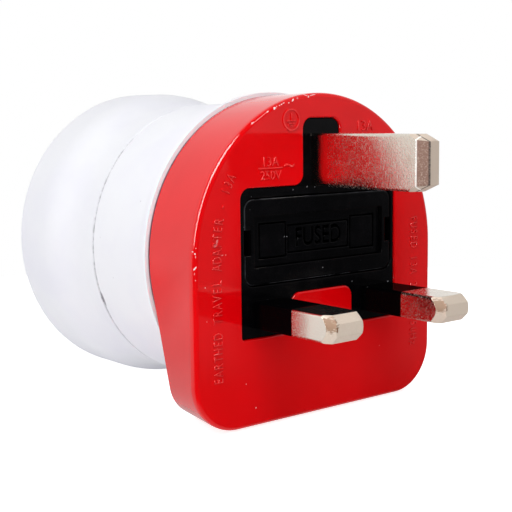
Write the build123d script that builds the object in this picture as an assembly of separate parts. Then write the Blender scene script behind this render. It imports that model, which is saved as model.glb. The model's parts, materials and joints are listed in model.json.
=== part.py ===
from build123d import *
from math import cos, radians, sin, tan
import os

# Travel adapter: a British plug with a fuse on one side, a round two-pin earthed socket on the other.
# Frame: X to the right when the pins are faced, Y from the plug face into the body, Z up.
# The origin lies on the plug face, on the axis of the round body. Millimetres.

# Plug pins, after the British plug standard
pin_spacing = 22.22
earth_rise = 22.23
pin_line_drop = 7.8
earth_pin_width = 3.975
earth_pin_height = 7.95
earth_pin_reach = 22.5
line_pin_width = 6.35
line_pin_height = 3.975
line_pin_reach = 17.4
earth_bevel = 1.65
earth_nose_length = 3.35
earth_nose_inset = 0.9
line_bevel = 1.1
line_nose_length = 2.67
line_nose_inset = 0.63
bevel_inset = 1.1
pin_corner = 0.4
sleeve_reach = 8.9
sleeve_wall = 0.6
sleeve_depth = 3.0
pin_head_grow = 0.8
pin_head_depth = 4.0

# Red base cover
base_overhang = 1.35
base_foot = 0.25
base_corner = 7.7
base_back_corner = 6.0
base_depth = 11.6
base_back_inset = 0.2
base_lean = 10.4
base_straight = 1.2
base_back_round = 0.3
base_wall = 2.2
face_plate = 2.4
closing_plate = 2.2
face_edge_round = 0.7
cutout_edge_round = 0.25

# Black pin block, seen through the cut-out of the base cover
stem_side = 1.8125
stem_margin = 2.345
wide_side = 1.665
wide_margin = 1.645
foot_margin = 1.7125
notch_side = 1.635
notch_margin = 1.855
block_corner = 1.7
block_foot_corner = 0.5
block_recess = 0.3
block_gap = 0.1
block_flange = 1.2
block_flange_depth = 2.0
block_back_wall = 1.4
block_back_corner = 3.0
boss_radius = 3.4
boss_length = 4.0

# Fuse and its carrier
cover_side = 0.85
cover_height = 12.75
cover_centre = 2.73
cover_corner = 1.6
cover_thick = 3.0
cover_gap = 0.2
cover_edge_round = 0.25
panel_side = 1.8
panel_height = 7.6
panel_depth = 1.75
panel_corner = 0.25
pry_width = 1.2
pry_height = 3.8
pry_depth = 1.8
fuse_length = 25.4
fuse_radius = 3.175
fuse_cap_length = 6.0
fuse_cap_wall = 0.28
fuse_cap_gap = 0.03
finger_half = 6.0
finger_thick = 1.2
finger_gap = 0.2
finger_wrap = 0.7
finger_hook = 0.9
chamber_gap = 0.4
fuse_back_gap = 0.75

# White body and socket ring
lip_rise = 0.5
lip_thick = 1.0
lip_gap = 0.3
waist_blend = 3.0
body_wall = 2.1
shell_gap = 0.45
seam_lead = 1.3
seam_gap = 0.12
seam_round = 0.25
ring_rise = 2.0
ring_flare = 10.0
ring_grip = 7.6
body_length = 50.6
ring_edge_round = 0.8
spigot_length = 2.4
spigot_wall = 1.0
fit_gap = 0.1

# Round two-pin earthed socket
recess_radius = 19.7
recess_depth = 17.5
recess_edge_round = 0.6
floor_thick = 2.4
hole_spacing = 19.0
hole_radius = 2.75
rib_width = 5.4
rib_height = 2.0
rib_stop = 2.5
rib_corner = 0.8
clip_channel_half = 2.7
clip_channel_depth = 1.2
clip_channel_end = 2.0

# Metal inside
strip = 0.8
clip_width = 3.4
clip_gap = 0.3
clip_reach = 1.4
contact_inner = 2.55
contact_wall = 0.65
contact_slit = 0.8
contact_root = 4.2
link_width = 2.6
link_gap = 0.5
link_boss_gap = 0.635
foot_length = 4.4
foot_corner = 1.0
earth_width = 4.6
earth_leg_gap = 0.1
earth_ring_gap = 0.8
earth_bulge = 1.7
earth_leg_straight = 1.5
earth_tip_lean = 0.4
earth_tip_gap = 1.2
rivet_radius = 0.9
rivet_head_radius = 1.7
rivet_head_thick = 0.7
rivet_length = 2.4
rivet_gap = 0.05

# Insulator, contact carrier, shutter, spring and screw
level_gap = 0.2
insulator_thick = 1.0
insulator_radius = 18.4
carrier_plate = 2.5
carrier_inset = 0.8
tower_wall = 1.4
tower_gap = 0.35
web_thick = 1.6
shutter_thick = 2.3
shutter_gap = 0.25
shutter_side = 0.95
shutter_bridge = 2.8
shutter_cover = 0.7
shutter_ramp = 1.6
rail_width = 1.8
spring_radius = 1.2
spring_wire = 0.4
spring_turns = 5
spring_wall = 1.5
spring_edge = 0.25
screw_radius = 1.45
screw_hole_gap = 0.2
screw_head_radius = 2.8
screw_head_height = 1.8
screw_bite = 3.6
screw_slot = 0.8
screw_slot_half = 2.1
screw_slot_depth = 1.1
screw_floor_boss = 4.4
screw_floor_rise = 1.4

# Places worked out from the sizes above
line_z = -pin_line_drop
earth_z = line_z + earth_rise
live_x = -pin_spacing / 2
neutral_x = pin_spacing / 2
leg_z = recess_radius + strip / 2 + earth_leg_gap
inner_radius = leg_z + strip / 2 + shell_gap
waist_radius = inner_radius + body_wall
ring_radius = waist_radius + ring_rise
base_radius = waist_radius + base_overhang
base_drop = base_radius + base_foot
back_radius = base_radius - base_back_inset
stem_half = earth_pin_width / 2 + stem_side
stem_top = earth_z + earth_pin_height / 2 + stem_margin
wide_half = neutral_x + line_pin_width / 2 + wide_side
wide_top = cover_centre + cover_height / 2 + wide_margin
wide_foot = line_z - line_pin_height / 2 - foot_margin
notch_half = neutral_x - line_pin_width / 2 - notch_side
notch_top = cover_centre - cover_height / 2 - notch_margin
cover_half = wide_half - cover_side
panel_half = cover_half - panel_side
fuse_z = cover_centre
cover_front = block_recess
cover_back = cover_front + cover_thick
fuse_y = cover_back + finger_gap + fuse_radius
chamber_back = fuse_y + fuse_radius + fuse_back_gap
block_back = chamber_back + block_back_wall
chamber_half = fuse_length / 2 + chamber_gap + strip
clip_inner = fuse_radius + clip_gap
chamber_height = 2 * (clip_inner + strip + chamber_gap)
clip_outer_x = fuse_length / 2
link_back = block_back + strip
insulator_y = link_back + level_gap
strap_y = insulator_y + insulator_thick
strap_back = strap_y + strip
boss_end = block_back + boss_length
floor_y = body_length - recess_depth
floor_back = floor_y - floor_thick
seam_y = floor_back - seam_lead
ring_flare_end = body_length - ring_grip
ring_flare_start = ring_flare_end - ring_flare
shutter_y = floor_back - shutter_gap - shutter_thick
carrier_y = shutter_y - shutter_gap
hole_x = hole_spacing / 2
contact_outer = contact_inner + contact_wall
contact_end = carrier_y - carrier_plate - level_gap
carrier_radius = leg_z - strip / 2 - carrier_inset
boss_gap_radius = screw_floor_boss + shutter_gap
shutter_low = -(hole_radius + shutter_cover)
shutter_high = boss_gap_radius + shutter_bridge
spring_seat = carrier_radius - spring_wall - spring_edge
shutter_half = hole_x + hole_radius + shutter_side


def box(x0, x1, y0, y1, z0, z1):
    middle = Pos((x0 + x1) / 2, (y0 + y1) / 2, (z0 + z1) / 2)
    return middle * Box(x1 - x0, y1 - y0, z1 - z0)


def at(outline, y):
    """An outline drawn in X and Z, placed at a depth Y."""
    return Plane.XZ.offset(-y) * outline


def slab(outline, y0, y1):
    """An outline drawn in X and Z, thickened from depth y0 to y1."""
    return extrude(at(outline, y0), amount=y0 - y1)


def rod(x, z, radius, y0, y1):
    return slab(Pos(x, z) * Circle(radius), y0, y1)


def turned(*profile):
    """A profile of depth and radius, turned about the axis of the round body."""
    face = make_face(Curve() + list(profile))
    return revolve(Plane.YZ * face, Axis.Y)


def bent_strip(points, thick):
    """The outline of a strip of constant thickness along a bent path."""
    path = [Vector(*p) for p in points]
    ways = [(b - a).normalized() for a, b in zip(path, path[1:])]
    sides = []
    for i, point in enumerate(path):
        before = ways[max(i - 1, 0)]
        after = ways[min(i, len(ways) - 1)]
        normal = Vector(-(before + after).Y, (before + after).X).normalized()
        reach = thick / 2 / normal.dot(Vector(-after.Y, after.X))
        sides.append((point + normal * reach, point - normal * reach))
    outline = [s[0] for s in sides] + [s[1] for s in reversed(sides)]
    return make_face(Polyline(*outline, close=True))


def rounded(points, corner_of):
    """A polygon whose corners are rounded by the radius that corner_of gives for a corner's place."""
    outline = make_face(Polyline(*points, close=True))
    for radius in sorted({corner_of(*p) for p in points}):
        here = [v for v in outline.vertices() if any(
            abs(v.X - p[0]) + abs(v.Y - p[1]) < 1e-6 for p in points if corner_of(*p) == radius)]
        outline = fillet(here, radius)
    return outline


def base_outline(radius, drop, corner, lean):
    """A half-round top on sides that lean in towards a flat bottom with round corners."""
    side = (radius * cos(radians(lean)), -radius * sin(radians(lean)))
    foot = side[0] - (drop + side[1]) * tan(radians(lean))
    left = (-side[0], side[1])
    outline = make_face(Curve() + [
        ThreePointArc(left, (0, radius), side),
        Line(side, (foot, -drop)),
        Line((foot, -drop), (-foot, -drop)),
        Line((-foot, -drop), left)])
    return fillet(outline.vertices().sort_by(Axis.Y)[:2], corner)


def base_form(inset, y0, y1):
    """The base's outer form, or its cavity when inset by the wall, from depth y0 to y1."""
    front = base_outline(base_radius - inset, base_drop - inset, base_corner - inset, 0)
    back = base_outline(back_radius - inset, base_drop - inset, base_back_corner - inset, base_lean)
    body = slab(front, y0, y0 + base_straight)
    if inset == 0:
        body = fillet(body.faces().sort_by(Axis.Y)[0].edges(), face_edge_round)
    return body + loft([at(front, y0 + base_straight), at(back, y1)], ruled=True)


def block_outline(grow=0.0):
    """The pin block as it shows: a stem for the earth pin on a wide part with two legs."""
    half = [(stem_half + grow, stem_top + grow), (stem_half + grow, wide_top + grow),
            (wide_half + grow, wide_top + grow), (wide_half + grow, wide_foot - grow),
            (notch_half - grow, wide_foot - grow), (notch_half - grow, notch_top - grow)]
    inner = {half[1], half[5]}
    points = half + [(-x, z) for x, z in reversed(half)]

    def corner(x, z):
        if (abs(x), z) == half[3]:
            return block_foot_corner + grow
        return block_corner - grow if (abs(x), z) in inner else block_corner + grow

    return rounded(points, corner)


def cover_outline(grow=0.0):
    size = (2 * (cover_half + grow), cover_height + 2 * grow)
    return Pos(0, cover_centre) * RectangleRounded(*size, cover_corner + grow)


def pin_outline(width, height, grow=0.0):
    return RectangleRounded(width + 2 * grow, height + 2 * grow, pin_corner + grow)


def base_cover():
    body = base_form(0, 0, base_depth)
    body = fillet(body.faces().sort_by(Axis.Y)[-1].edges(), base_back_round)
    body -= base_form(base_wall, face_plate, base_depth)
    body -= slab(block_outline(), 0, face_plate)
    face = body.faces().filter_by(Axis.Y).sort_by(Axis.Y)[0]
    return fillet(face.inner_wires()[0].edges(), cutout_edge_round)


def pin_block():
    """Carries the pins and the fuse chamber, held against the back of the base cover's face."""
    body = slab(block_outline(-block_gap), block_recess, face_plate)
    flange_back = face_plate + block_flange_depth
    behind = slab(block_outline(block_flange), face_plate, flange_back)
    trunk = Pos(0, (wide_top + wide_foot) / 2) * RectangleRounded(
        2 * wide_half, wide_top - wide_foot, block_back_corner)
    earth_top = earth_z + earth_pin_height / 2 + 2 * pin_head_grow
    trunk += Pos(0, earth_top / 2) * RectangleRounded(
        2 * (stem_half + pin_head_grow), earth_top, block_back_corner)
    behind += slab(trunk, face_plate, block_back)
    body += behind & rod(0, 0, back_radius - base_wall - fit_gap, face_plate, block_back)
    body += rod(0, 0, boss_radius, block_back, boss_end)
    body -= slab(cover_outline(cover_gap), 0, cover_back + cover_gap)
    chamber = Pos(0, fuse_z) * Rectangle(2 * chamber_half, chamber_height)
    body -= slab(chamber, cover_back, chamber_back)
    for side in (-1, 1):
        x = side * (clip_outer_x - clip_width / 2)
        slot = Pos(x, fuse_z) * Rectangle(clip_width + 2 * chamber_gap, chamber_height)
        body -= slab(slot, chamber_back, block_back)
    for x, z, width, height in pin_places():
        body -= slab(Pos(x, z) * pin_outline(width, height), 0, block_back)
        head = Pos(x, z) * pin_outline(width, height, pin_head_grow)
        body -= slab(head, block_back - pin_head_depth, block_back)
    body -= rod(0, 0, screw_radius, boss_end - screw_bite, boss_end)
    return body


def pin_places():
    return [(0, earth_z, earth_pin_width, earth_pin_height),
            (live_x, line_z, line_pin_width, line_pin_height),
            (neutral_x, line_z, line_pin_width, line_pin_height)]


def pin_tip(x, z, width, height, reach, bevel, nose_length, nose_inset):
    """The end of a pin: two flat bevels on its broad sides, and corners turned to a blunt cone."""
    shaft = Pos(x, z) * pin_outline(width, height)
    thin = 2 * bevel_inset
    size = (width - thin, height) if width < height else (width, height - thin)
    end = Pos(x, z) * pin_outline(*size)
    back = -reach + nose_length
    body = loft([at(end, -reach), at(shaft, -reach + bevel)], ruled=True)
    body += slab(shaft, -reach + bevel, back)
    blunt = max(width, height) / 2 - nose_inset
    corner = (width ** 2 + height ** 2) ** 0.5 / 2
    nose = turned(Polyline((-reach, 0), (-reach, blunt), (back, corner), (back, 0), close=True))
    return body & Pos(x, 0, z) * nose


def plug_pin(x, z, width, height, reach, tip, tail, sleeved):
    """A pin with a bevelled tip, a wider head inside the block, and a hole for the rivet in its tail."""
    place = Pos(x, z)
    shaft = place * pin_outline(width, height)
    body = pin_tip(x, z, width, height, reach, *tip)
    neck = -reach + tip[1]
    head = block_back - pin_head_depth
    if sleeved:
        core = place * Rectangle(width - 2 * sleeve_wall, height - 2 * sleeve_wall)
        body += slab(shaft, neck, -sleeve_reach)
        body += slab(core, -sleeve_reach, sleeve_depth)
        body += slab(shaft, sleeve_depth, head)
    else:
        body += slab(shaft, neck, head)
    body += slab(place * pin_outline(width, height, pin_head_grow), head, tail)
    return body - rod(x, z, rivet_radius + rivet_gap, tail - rivet_length, tail)


def sleeve(x):
    """The insulating sleeve round the inner half of a live or neutral pin, flush with its outside."""
    outer = Pos(x, line_z) * pin_outline(line_pin_width, line_pin_height)
    core = Pos(x, line_z) * Rectangle(line_pin_width - 2 * sleeve_wall, line_pin_height - 2 * sleeve_wall)
    return slab(outer - core, -sleeve_reach, sleeve_depth)


def fuse_carrier():
    """The cover that shows in the plug face, with two fingers behind it that hold the fuse."""
    body = slab(cover_outline(), cover_front, cover_back)
    body = fillet(body.faces().sort_by(Axis.Y)[0].edges(), cover_edge_round)
    panel = Pos(0, cover_centre) * RectangleRounded(2 * panel_half, panel_height, panel_corner)
    body -= slab(panel, cover_front, cover_front + panel_depth)
    tube = fuse_radius - fuse_cap_wall - fuse_cap_gap
    finger_in = tube + finger_gap
    finger_back = fuse_y + tube * finger_wrap
    for side in (-1, 1):
        pry = Pos(side * (cover_half - pry_width / 2), cover_centre) * Rectangle(pry_width, pry_height)
        body -= slab(pry, cover_front, cover_front + pry_depth)
        inner = fuse_z + side * finger_in
        outer = inner + side * finger_thick
        low, high = sorted((inner, outer))
        body += box(-finger_half, finger_half, cover_back, finger_back, low, high)
        hook = fuse_z + side * (finger_in - finger_hook)
        low, high = sorted((hook, outer))
        body += box(-finger_half, finger_half, finger_back, finger_back + finger_hook, low, high)
    return body


def lying_rod(x0, x1, radius):
    """A rod along X on the fuse's axis."""
    return extrude(Plane.YZ.offset(x0) * Pos(fuse_y, fuse_z) * Circle(radius), amount=x1 - x0)


def fuse_tube():
    half = fuse_length / 2 - fuse_cap_wall
    return lying_rod(-half, half, fuse_radius - fuse_cap_wall - fuse_cap_gap)


def fuse_caps():
    end = fuse_length / 2
    start = end - fuse_cap_length
    right = lying_rod(start, end, fuse_radius)
    right -= lying_rod(start, end - fuse_cap_wall, fuse_radius - fuse_cap_wall)
    return [right, right.mirror(Plane.YZ)]


def body_shell():
    """The white waist with its lip, and the plate that closes the back of the base cover."""
    lip_radius = back_radius + lip_rise
    lip_front = base_depth + lip_gap
    lip_back = lip_front + lip_thick
    land = back_radius - base_wall / 2
    waist_start = lip_back + waist_blend
    end = seam_y - seam_gap / 2
    blend = TangentArc((waist_start, waist_radius), (lip_back, lip_radius), tangent=(-1, 0))
    body = turned(
        Line((base_depth, inner_radius), (base_depth, land)),
        Line((base_depth, land), (lip_front, land)),
        Line((lip_front, land), (lip_front, lip_radius)),
        Line((lip_front, lip_radius), (lip_back, lip_radius)),
        blend,
        Line((waist_start, waist_radius), (end - seam_round, waist_radius)),
        Line((end - seam_round, waist_radius), (end, waist_radius - seam_round)),
        Line((end, waist_radius - seam_round), (end, inner_radius)),
        Line((end, inner_radius), (base_depth, inner_radius)))
    plate_front = base_depth - closing_plate
    inset = base_wall + fit_gap
    outline = base_outline(back_radius - inset, base_drop - inset, base_back_corner - inset, base_lean)
    plate = slab(outline, plate_front, base_depth)
    return body + plate - rod(0, 0, inner_radius, plate_front, base_depth)


def socket_cap():
    """The ring with the round recess, its floor with the pin holes, ribs and channels for the earth clips."""
    start = seam_y + seam_gap / 2
    middle = ((ring_flare_start + ring_flare_end) / 2, (waist_radius + ring_radius) / 2)
    flare_in = TangentArc((ring_flare_start, waist_radius), middle, tangent=(1, 0))
    flare_out = TangentArc(middle, (ring_flare_end, ring_radius), tangent=flare_in % 1)
    rim = body_length - ring_edge_round
    mouth = recess_radius + recess_edge_round
    body = turned(
        Line((start, 0), (start, waist_radius - seam_round)),
        Line((start, waist_radius - seam_round), (start + seam_round, waist_radius)),
        Line((start + seam_round, waist_radius), (ring_flare_start, waist_radius)),
        flare_in,
        flare_out,
        Line((ring_flare_end, ring_radius), (rim, ring_radius)),
        RadiusArc((rim, ring_radius), (body_length, ring_radius - ring_edge_round), ring_edge_round),
        Line((body_length, ring_radius - ring_edge_round), (body_length, mouth)),
        RadiusArc((body_length, mouth), (body_length - recess_edge_round, recess_radius), recess_edge_round),
        Line((body_length - recess_edge_round, recess_radius), (floor_y, recess_radius)),
        Line((floor_y, recess_radius), (floor_y, 0)),
        Line((floor_y, 0), (start, 0)))
    spigot_outer = inner_radius - fit_gap
    body += rod(0, 0, spigot_outer, seam_y - spigot_length, start)
    body -= rod(0, 0, spigot_outer - spigot_wall, seam_y - spigot_length, floor_back)
    body += rod(0, 0, screw_floor_boss, floor_back - screw_floor_rise, floor_back)
    for side in (-1, 1):
        body += side_rib(side)
        body -= rod(side * hole_x, 0, hole_radius, floor_back, floor_y)
        channel_end = body_length - clip_channel_end
        channel = [side * (recess_radius - earth_bulge), side * (recess_radius + clip_channel_depth)]
        body -= box(-clip_channel_half, clip_channel_half, seam_y - spigot_length, channel_end,
                    *sorted(channel))
    body -= rod(0, 0, screw_radius + screw_hole_gap, floor_back - screw_floor_rise, floor_y)
    return body - rod(0, 0, screw_head_radius + screw_hole_gap, floor_y - screw_head_height, floor_y)


def side_rib(side):
    """A guide rib on the wall of the recess, beside a pin hole."""
    inner = recess_radius - rib_height
    profile = Pos(side * (inner + rib_height), 0) * RectangleRounded(2 * rib_height, rib_width, rib_corner)
    return slab(profile, floor_y, body_length - rib_stop)


def fuse_clip(side):
    """Two arms that reach past the fuse's cap from the plate behind the chamber."""
    low = clip_outer_x - clip_width
    x0, x1 = sorted((side * low, side * clip_outer_x))
    arms = Part()
    for way in (-1, 1):
        z0, z1 = sorted((fuse_z + way * clip_inner, fuse_z + way * (clip_inner + strip)))
        arms += box(x0, x1, fuse_y - clip_reach, link_back, z0, z1)
    return arms + box(x0, x1, block_back, link_back, fuse_z - clip_inner, fuse_z + clip_inner)


def contact_tube(x, y0):
    """A socket contact: a tube that grips the mating plug's pin, slit from its open end."""
    tube = rod(x, 0, contact_outer, y0, contact_end) - rod(x, 0, contact_inner, y0, contact_end)
    cut = box(x - contact_outer, x + contact_outer, y0 + contact_root, contact_end,
              -contact_slit / 2, contact_slit / 2)
    return tube - cut


def live_link():
    """From the live pin's tail, across below the boss, to the clip at the far end of the fuse."""
    half = link_width / 2
    near = boss_radius + link_boss_gap
    far = neutral_x - line_pin_width / 2 - pin_head_grow - link_gap
    pad = Pos(live_x, line_z) * RectangleRounded(foot_length, link_width, foot_corner)
    foot = slab(pad, block_back, link_back)
    foot += box(live_x, far, block_back, link_back, line_z - half, line_z + half)
    foot += box(near, far, block_back, link_back, line_z - half, fuse_z + half)
    foot += box(near, clip_outer_x, block_back, link_back, fuse_z - half, fuse_z + half)
    foot += fuse_clip(1)
    return foot - rod(live_x, line_z, rivet_radius + rivet_gap, block_back, link_back)


def live_contact():
    """The clip at the near end of the fuse and the socket's fused contact, on one plate."""
    plate_top = fuse_z + clip_inner
    plate = box(-clip_outer_x, contact_outer - hole_x, block_back, link_back, -contact_outer, plate_top)
    return plate + fuse_clip(-1) + contact_tube(-hole_x, link_back)


def neutral_contact():
    half = link_width / 2
    plate = box(hole_x - contact_outer, neutral_x + half, strap_y, strap_back, line_z - half, contact_outer)
    plate -= rod(hole_x, 0, contact_inner, strap_y, strap_back)
    plate += contact_tube(hole_x, strap_back)
    return plate - rod(neutral_x, line_z, rivet_radius + rivet_gap, strap_y, strap_back)


def earth_strap():
    """A bridge behind the boss with a spring leg at each end that shows in the wall of the recess."""
    ring = hole_x - contact_outer - earth_ring_gap
    body = box(-earth_width / 2, earth_width / 2, strap_y, strap_back, -leg_z, leg_z)
    body += rod(0, 0, ring, strap_y, strap_back)
    body -= rod(0, 0, boss_radius + fit_gap, strap_y, strap_back)
    body -= rod(0, earth_z, rivet_radius + rivet_gap, strap_y, strap_back)
    tip = body_length - clip_channel_end - earth_tip_gap
    bulge = leg_z - earth_bulge
    path = [(strap_y, leg_z), (floor_y + earth_leg_straight, leg_z),
            ((floor_y + tip) / 2, bulge), (tip, leg_z - earth_tip_lean)]
    leg = extrude(Plane.YZ * bent_strip(path, strip), amount=earth_width / 2, both=True)
    return body + leg + leg.mirror(Plane.XY)


def rivets():
    places = [(live_x, line_z, link_back), (neutral_x, line_z, strap_back), (0, earth_z, strap_back)]
    made = []
    for x, z, seat in places:
        shank = rod(x, z, rivet_radius, seat - strip - rivet_length + rivet_gap, seat)
        made.append(shank + rod(x, z, rivet_head_radius, seat, seat + rivet_head_thick))
    return made


def insulator_plate():
    """The sheet between the live parts below it and the neutral and earth strips on it."""
    body = rod(0, 0, insulator_radius, insulator_y, strap_y)
    body -= rod(0, 0, boss_radius + fit_gap, insulator_y, strap_y)
    body -= rod(-hole_x, 0, contact_outer + fit_gap, insulator_y, strap_y)
    body -= rod(live_x, line_z, rivet_head_radius + fit_gap, insulator_y, strap_y)
    for x, z, width, height in (pin_places()[0], pin_places()[2]):
        hole = Pos(x, z) * pin_outline(width, height, pin_head_grow + fit_gap)
        body -= slab(hole, insulator_y, strap_y)
    return body


def contact_carrier():
    """Holds the socket contacts in two towers and guides the shutter on its back."""
    plate_front = carrier_y - carrier_plate
    tower = contact_outer + tower_gap
    body = rod(0, 0, carrier_radius, plate_front, carrier_y)
    body += box(-hole_x, hole_x, boss_end, plate_front, -web_thick / 2, web_thick / 2)
    for side in (-1, 1):
        body += rod(side * hole_x, 0, tower + tower_wall, strap_back + level_gap, plate_front)
    body += rod(0, 0, screw_floor_boss, boss_end, floor_back - screw_floor_rise)
    rail = shutter_half + shutter_gap
    rail_low = shutter_low - shutter_gap - rail_width
    for side in (-1, 1):
        x0, x1 = sorted((side * rail, side * (rail + rail_width)))
        body += box(x0, x1, carrier_y, floor_back - fit_gap, rail_low, shutter_high)
        x0, x1 = sorted((side * boss_gap_radius, side * (rail + rail_width)))
        body += box(x0, x1, carrier_y, floor_back - fit_gap, rail_low, rail_low + rail_width)
    body += box(-spring_radius - spring_wall, spring_radius + spring_wall, carrier_y, floor_back - fit_gap,
                spring_seat, spring_seat + spring_wall)
    for side in (-1, 1):
        body -= rod(side * hole_x, 0, tower, strap_back + level_gap, plate_front)
        body -= rod(side * hole_x, 0, hole_radius, plate_front, carrier_y)
    return body - rod(0, 0, screw_radius + screw_hole_gap, boss_end, floor_back)


def shutter():
    """A slide with two blades that cover the pin holes, ramped so that a pair of pins lifts it."""
    back = shutter_y + shutter_thick
    body = box(-shutter_half, shutter_half, shutter_y, back, shutter_low, shutter_high)
    slot_top = shutter_high - shutter_bridge
    body -= box(-boss_gap_radius, boss_gap_radius, shutter_y, back, shutter_low, slot_top)
    ramps = body.edges().filter_by(Axis.X).group_by(Axis.Y)[-1]
    return chamfer(ramps.group_by(Axis.Z)[0], shutter_ramp)


def shutter_spring():
    """A coil between the shutter and the wall at the carrier's edge, its wire six-sided to keep it light."""
    low = shutter_high + spring_wire / 2 + fit_gap
    high = spring_seat - spring_wire / 2 - fit_gap
    middle = (0, (carrier_y + floor_back) / 2, low)
    helix = Helix((high - low) / spring_turns, high - low, spring_radius, center=middle)
    wire = Plane(helix @ 0, z_dir=helix % 0) * RegularPolygon(spring_wire / 2, 6)
    return sweep(wire, path=helix)


def centre_screw():
    seat = floor_y - screw_head_height
    body = rod(0, 0, screw_radius - rivet_gap, boss_end - screw_bite + fit_gap, seat)
    body += rod(0, 0, screw_head_radius, seat, floor_y)
    for way in (0, 90):
        slot = Rot(0, 0, way) * Rectangle(2 * screw_slot_half, screw_slot)
        body -= slab(slot, floor_y - screw_slot_depth, floor_y)
    return body


def nodes():
    earth, live, neutral = pin_places()
    earth_tip = (earth_bevel, earth_nose_length, earth_nose_inset)
    line_tip = (line_bevel, line_nose_length, line_nose_inset)
    return {
        "base_cover": base_cover(),
        "pin_block": pin_block(),
        "fuse_carrier": fuse_carrier(),
        "fuse_tube": fuse_tube(),
        "fuse_caps": fuse_caps(),
        "earth_pin": plug_pin(*earth, earth_pin_reach, earth_tip, strap_y, False),
        "live_pin": plug_pin(*live, line_pin_reach, line_tip, block_back, True),
        "neutral_pin": plug_pin(*neutral, line_pin_reach, line_tip, strap_y, True),
        "live_sleeve": sleeve(live_x),
        "neutral_sleeve": sleeve(neutral_x),
        "body_shell": body_shell(),
        "socket_cap": socket_cap(),
        "live_link": live_link(),
        "live_contact": live_contact(),
        "neutral_contact": neutral_contact(),
        "earth_strap": earth_strap(),
        "pin_rivets": rivets(),
        "insulator_plate": insulator_plate(),
        "contact_carrier": contact_carrier(),
        "shutter": shutter(),
        "shutter_spring": shutter_spring(),
        "centre_screw": centre_screw()}


os.makedirs("parts", exist_ok=True)
for name, solids in nodes().items():
    shape = Compound(children=solids) if isinstance(solids, list) else solids
    export_step(shape, f"parts/{name}.step")
    print(f"{name}: {shape.volume:.1f} mm3")
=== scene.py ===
import json
import math
import bpy
import bmesh
from mathutils import Matrix, Vector


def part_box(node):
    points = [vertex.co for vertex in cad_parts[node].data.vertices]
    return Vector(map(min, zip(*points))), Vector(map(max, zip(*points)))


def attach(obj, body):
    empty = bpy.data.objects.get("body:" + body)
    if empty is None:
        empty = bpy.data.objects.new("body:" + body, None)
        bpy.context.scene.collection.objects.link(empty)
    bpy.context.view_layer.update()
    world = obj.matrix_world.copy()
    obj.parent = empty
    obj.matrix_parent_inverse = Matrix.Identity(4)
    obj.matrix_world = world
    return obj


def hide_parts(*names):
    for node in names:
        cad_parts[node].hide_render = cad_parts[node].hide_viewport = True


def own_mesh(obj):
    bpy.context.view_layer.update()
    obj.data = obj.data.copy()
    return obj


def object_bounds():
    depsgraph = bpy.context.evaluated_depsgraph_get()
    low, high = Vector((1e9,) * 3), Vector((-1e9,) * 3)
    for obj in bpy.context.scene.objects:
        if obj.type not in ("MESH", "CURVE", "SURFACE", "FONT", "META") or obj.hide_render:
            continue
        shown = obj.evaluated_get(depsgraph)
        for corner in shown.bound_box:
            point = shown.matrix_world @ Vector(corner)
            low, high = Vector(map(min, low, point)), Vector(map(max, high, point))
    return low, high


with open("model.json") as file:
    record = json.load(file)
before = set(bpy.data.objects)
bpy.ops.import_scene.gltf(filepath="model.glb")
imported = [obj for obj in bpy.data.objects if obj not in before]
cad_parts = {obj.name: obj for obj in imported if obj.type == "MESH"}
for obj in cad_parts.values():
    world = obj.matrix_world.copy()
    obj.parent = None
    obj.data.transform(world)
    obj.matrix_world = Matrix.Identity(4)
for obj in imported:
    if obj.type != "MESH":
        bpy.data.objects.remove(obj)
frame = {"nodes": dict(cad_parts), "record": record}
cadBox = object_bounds()
nodes = frame["nodes"]
mm = 0.001
print("frame loaded:", len(nodes), "nodes")


# shader maths: wraps one socket of a node tree

strokeEdge = (0.65, 1.05)  # where the rim of a mark fades, as shares of its half sizes
edgeSamples = 6  # rays that look for sharp edges to round


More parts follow.
